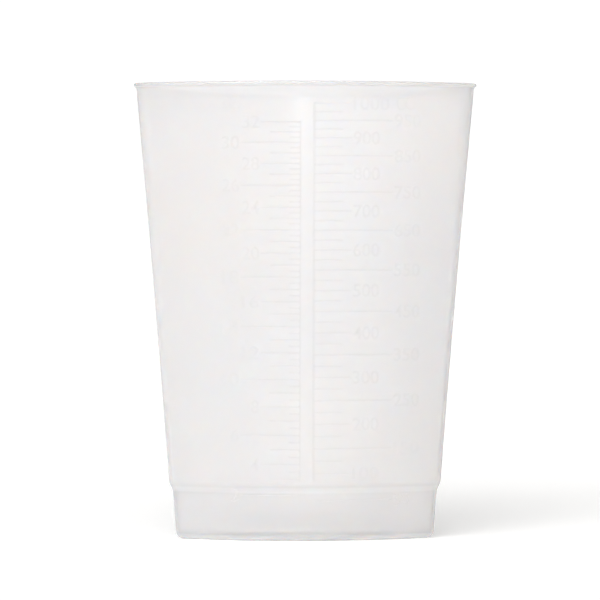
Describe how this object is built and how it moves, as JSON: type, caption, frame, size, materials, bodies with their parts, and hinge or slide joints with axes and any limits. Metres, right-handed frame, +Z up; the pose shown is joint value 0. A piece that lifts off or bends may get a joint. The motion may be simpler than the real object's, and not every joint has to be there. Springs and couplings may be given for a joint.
{
  "type": "beaker",
  "caption": "Tapered translucent plastic measuring beaker with three bulging sides, rounded pouring corners, a small lip, a nesting shoulder and raised volume scales on one side.",
  "frame": {"origin": "middle of the bounding box's bottom face, in the plane the beaker stands on", "axes": "+Z up towards the mouth, -Y towards the side that carries the scales, +Y towards one pouring corner; the three-fold axis stands 7.5 mm from the origin towards -Y"},
  "size_m": [0.1162, 0.1162, 0.1546],
  "materials": {
    "natural_polypropylene": "natural translucent polypropylene, satin moulded surface"
  },
  "bodies": {
    "root": {"floor_plate": "natural_polypropylene", "foot_wall": "natural_polypropylene", "nesting_shoulder": "natural_polypropylene", "body_wall": "natural_polypropylene", "rim_lip": "natural_polypropylene", "cc_scale_ribs": "natural_polypropylene", "cc_50_rib": "natural_polypropylene", "oz_scale_ribs": "natural_polypropylene", "oz_2_rib": "natural_polypropylene"}
  },
  "joints": []
}
